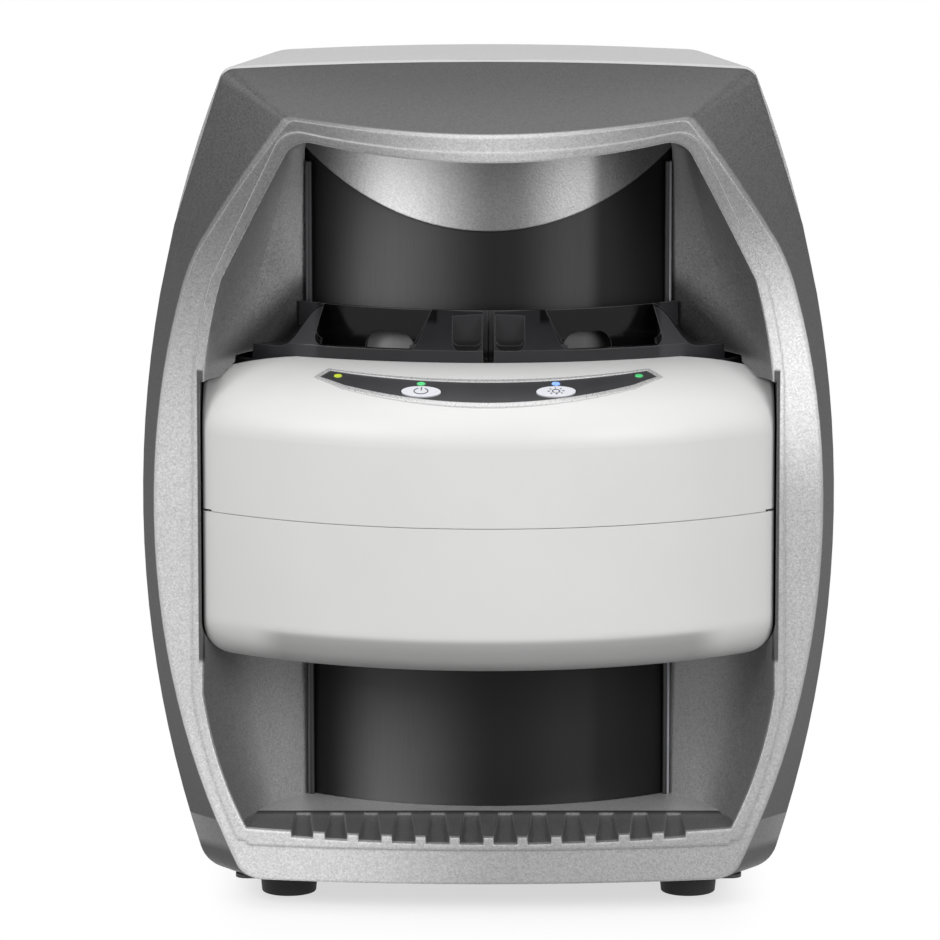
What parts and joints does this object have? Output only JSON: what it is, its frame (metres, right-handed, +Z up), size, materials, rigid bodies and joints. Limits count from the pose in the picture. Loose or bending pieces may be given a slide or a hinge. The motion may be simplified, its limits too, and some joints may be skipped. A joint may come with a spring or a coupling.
{
  "type": "phosphor plate scanner",
  "caption": "Desktop scanner for dental imaging plates: barrel housing, open alcove with a drum, belt transport unit with a control panel, entry guide and ribbed tray.",
  "frame": {"origin": "centre of the overall footprint, at the level the feet stand on", "axes": "+Z up, -Y the way the alcove and the control panel face, +X to the right as seen from the front"},
  "size_m": [0.379, 0.3708, 0.466],
  "materials": {
    "silver_bezel": "fine metallic paint",
    "housing_grey": "fine texture",
    "dark_steel": "powder coat",
    "foot_rubber": "moulded",
    "zinc_screw": "zinc plated",
    "sheet_steel": "plain",
    "drum_grey": "satin",
    "silver_cap": "satin",
    "black_trim": "satin",
    "white_cover": "fine satin",
    "black_gloss": "polished",
    "silver_frame": "satin",
    "panel_dark": "printed film",
    "button_pale": "satin",
    "led_amber": "clear lens",
    "led_green": "clear lens",
    "led_blue": "clear lens",
    "board_green": "solder mask",
    "inner_black": "moulded",
    "belt_rubber": "ribbed",
    "motor_steel": "turned",
    "brass_pulley": "turned",
    "lamp_white": "clear lens",
    "cast_aluminium": "machined",
    "mirror_bright": "polished",
    "chip_black": "moulded",
    "socket_black": "moulded",
    "port_steel": "plated",
    "axle_steel": "turned"
  },
  "bodies": {
    "body": {"front_bezel": "silver_bezel", "rear_cover": "housing_grey", "base_plate": "dark_steel", "feet": "foot_rubber", "foot_screws": "zinc_screw", "rear_screws": "zinc_screw", "left_side_frame": "sheet_steel", "right_side_frame": "sheet_steel", "rear_chassis_panel": "sheet_steel", "drum_shell": "drum_grey", "drum_cap": "silver_cap", "left_drum_trim": "black_trim", "right_drum_trim": "black_trim", "upper_front_cover": "white_cover", "left_entry_guide": "black_gloss", "right_entry_guide": "black_gloss", "control_panel_frame": "silver_frame", "control_panel_face": "panel_dark", "standby_led": "led_amber", "power_led": "led_green", "eraser_led": "led_blue", "ready_led": "led_green", "panel_board": "board_green", "transport_frame": "inner_black", "transport_belts": "belt_rubber", "timing_belt": "belt_rubber", "transport_motor": "motor_steel", "eraser_board": "board_green", "eraser_lamps": "lamp_white", "optics_shelf": "cast_aluminium", "spinner_motor": "motor_steel", "laser_module": "inner_black", "light_collector": "mirror_bright", "photomultiplier": "inner_black", "main_board": "board_green", "board_components": "chip_black", "power_supply": "sheet_steel", "fan_frame": "inner_black", "power_inlet": "socket_black", "switch_body": "socket_black", "data_port": "port_steel"},
    "lower_cover": {"lower_front_cover": "white_cover"},
    "power_key": {"power_button": "button_pale"},
    "eraser_key": {"eraser_button": "button_pale"},
    "rocker": {"switch_rocker": "socket_black"},
    "scanner_rotor": {"scan_rotor": "cast_aluminium"},
    "fan": {"fan_rotor": "inner_black"},
    "pulley": {"motor_pulley": "brass_pulley"},
    "drive_roller_1_body": {"drive_roller_1": "axle_steel"},
    "drive_roller_2_body": {"drive_roller_2": "axle_steel"},
    "drive_roller_3_body": {"drive_roller_3": "axle_steel"},
    "drive_roller_4_body": {"drive_roller_4": "axle_steel"},
    "drive_roller_5_body": {"drive_roller_5": "axle_steel"},
    "idler_roller_1_body": {"idler_roller_1": "axle_steel"},
    "idler_roller_2_body": {"idler_roller_2": "axle_steel"},
    "idler_roller_3_body": {"idler_roller_3": "axle_steel"},
    "idler_roller_4_body": {"idler_roller_4": "axle_steel"},
    "idler_roller_5_body": {"idler_roller_5": "axle_steel"}
  },
  "joints": [
    {"name": "lower_cover_pull", "type": "slide", "parent": "body", "child": "lower_cover", "axis": [0, -1, 0], "range_m": [0, 0.06]},
    {"name": "power_button_press", "type": "slide", "parent": "body", "child": "power_key", "axis": [0.0812, 0.4965, -0.8643], "range_m": [0, 0.0008], "stiffness_N_per_m": 800, "springref_m": -0.0005},
    {"name": "eraser_button_press", "type": "slide", "parent": "body", "child": "eraser_key", "axis": [-0.0812, 0.4965, -0.8643], "range_m": [0, 0.0008], "stiffness_N_per_m": 800, "springref_m": -0.0005},
    {"name": "power_switch_rock", "type": "hinge", "parent": "body", "child": "rocker", "pos_m": [-0.03, 0.18, 0.07], "axis": [1, 0, 0], "range_deg": [-22.6, 0]},
    {"name": "scanner_rotor_spin", "type": "hinge", "parent": "body", "child": "scanner_rotor", "pos_m": [0, 0.06, 0.18], "axis": [0, 0, 1], "continuous": true},
    {"name": "fan_spin", "type": "hinge", "parent": "body", "child": "fan", "pos_m": [0.075, 0.17, 0.13], "axis": [0, 1, 0], "continuous": true},
    {"name": "drive_roller_1_spin", "type": "hinge", "parent": "body", "child": "drive_roller_1_body", "pos_m": [-0.0849, -0.08705, 0.28], "axis": [0.866, -0.5, 0], "continuous": true},
    {"name": "idler_roller_1_spin", "type": "hinge", "parent": "body", "child": "idler_roller_1_body", "pos_m": [-0.0849, -0.08705, 0.164], "axis": [0.866, -0.5, 0], "continuous": true},
    {"name": "drive_roller_2_spin", "type": "hinge", "parent": "body", "child": "drive_roller_2_body", "pos_m": [-0.04395, -0.10401, 0.28], "axis": [0.9659, -0.2588, 0], "continuous": true},
    {"name": "idler_roller_2_spin", "type": "hinge", "parent": "body", "child": "idler_roller_2_body", "pos_m": [-0.04395, -0.10401, 0.164], "axis": [0.9659, -0.2588, 0], "continuous": true},
    {"name": "drive_roller_3_spin", "type": "hinge", "parent": "body", "child": "drive_roller_3_body", "pos_m": [0, -0.1098, 0.28], "axis": [1, 0, 0], "continuous": true},
    {"name": "idler_roller_3_spin", "type": "hinge", "parent": "body", "child": "idler_roller_3_body", "pos_m": [0, -0.1098, 0.164], "axis": [1, 0, 0], "continuous": true},
    {"name": "drive_roller_4_spin", "type": "hinge", "parent": "body", "child": "drive_roller_4_body", "pos_m": [0.04395, -0.10401, 0.28], "axis": [0.9659, 0.2588, 0], "continuous": true},
    {"name": "idler_roller_4_spin", "type": "hinge", "parent": "body", "child": "idler_roller_4_body", "pos_m": [0.04395, -0.10401, 0.164], "axis": [0.9659, 0.2588, 0], "continuous": true},
    {"name": "drive_roller_5_spin", "type": "hinge", "parent": "body", "child": "drive_roller_5_body", "pos_m": [0.0849, -0.08705, 0.28], "axis": [0.866, 0.5, 0], "continuous": true},
    {"name": "idler_roller_5_spin", "type": "hinge", "parent": "body", "child": "idler_roller_5_body", "pos_m": [0.0849, -0.08705, 0.164], "axis": [0.866, 0.5, 0], "continuous": true},
    {"name": "motor_pulley_spin", "type": "hinge", "parent": "body", "child": "pulley", "pos_m": [0.1029, -0.11823, 0.28], "axis": [0.866, 0.5, 0], "continuous": true}
  ],
  "couplings": [
    {"joint": "drive_roller_1_spin", "follows": "drive_roller_5_spin", "ratio": 1},
    {"joint": "idler_roller_1_spin", "follows": "drive_roller_5_spin", "ratio": 1},
    {"joint": "drive_roller_2_spin", "follows": "drive_roller_5_spin", "ratio": 1},
    {"joint": "idler_roller_2_spin", "follows": "drive_roller_5_spin", "ratio": 1},
    {"joint": "drive_roller_3_spin", "follows": "drive_roller_5_spin", "ratio": 1},
    {"joint": "idler_roller_3_spin", "follows": "drive_roller_5_spin", "ratio": 1},
    {"joint": "drive_roller_4_spin", "follows": "drive_roller_5_spin", "ratio": 1},
    {"joint": "idler_roller_4_spin", "follows": "drive_roller_5_spin", "ratio": 1},
    {"joint": "idler_roller_5_spin", "follows": "drive_roller_5_spin", "ratio": 1},
    {"joint": "motor_pulley_spin", "follows": "drive_roller_5_spin", "ratio": 1}
  ]
}
